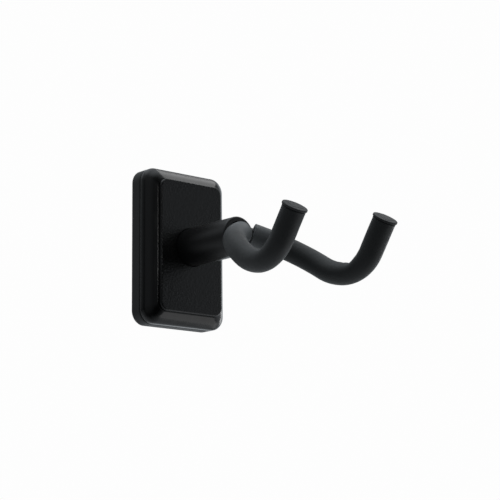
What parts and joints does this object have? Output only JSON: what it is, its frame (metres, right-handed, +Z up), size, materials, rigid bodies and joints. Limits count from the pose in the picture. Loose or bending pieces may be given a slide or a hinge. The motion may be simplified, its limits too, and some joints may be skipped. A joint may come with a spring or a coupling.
{
  "type": "wall guitar hanger",
  "caption": "Wall hanger for a guitar: a covered steel wall plate, a round post and a padded forked yoke that swivels to level the headstock.",
  "frame": {"origin": "centre of the face that meets the wall, on the post's axis", "axes": "+Y into the wall, so the object stands out towards -Y; +Z up; +X to the right of someone facing the wall"},
  "size_m": [0.0858, 0.1911, 0.1],
  "materials": {
    "frame_plastic": "matte black moulding",
    "cover_plastic": "smooth semi-gloss black moulding",
    "panel_plastic": "fine-textured satin black moulding",
    "foam": "closed-cell foam rubber, matte charcoal",
    "cap_rubber": "moulded rubber, matte",
    "nylon": "natural nylon",
    "black_steel": "black powder coat",
    "zinc_steel": "bright zinc plate"
  },
  "bodies": {
    "wall_side": {"wall_plate": "zinc_steel", "back_frame": "frame_plastic", "frame_screw_upper_left": "zinc_steel", "frame_screw_upper_right": "zinc_steel", "frame_screw_lower_left": "zinc_steel", "frame_screw_lower_right": "zinc_steel", "wall_screw_upper": "zinc_steel", "wall_screw_lower": "zinc_steel", "wall_washer_upper": "zinc_steel", "wall_washer_lower": "zinc_steel", "post_tube": "black_steel", "front_plug": "black_steel", "pivot_bush": "nylon"},
    "cover": {"cover_shell": "cover_plastic", "front_panel": "panel_plastic"},
    "yoke": {"yoke_rod": "black_steel", "pivot_stud": "zinc_steel", "flat_washer": "zinc_steel", "spring_washer": "zinc_steel", "lock_nut": "zinc_steel", "left_sleeve": "foam", "right_sleeve": "foam", "left_end_cap": "cap_rubber", "right_end_cap": "cap_rubber"}
  },
  "joints": [
    {"name": "cover_slide", "type": "slide", "parent": "wall_side", "child": "cover", "axis": [0, -1, 0], "range_m": [0, 0.045]},
    {"name": "yoke_swivel", "type": "hinge", "parent": "wall_side", "child": "yoke", "pos_m": [0, -0.067, 0], "axis": [0, -1, 0], "continuous": true}
  ]
}
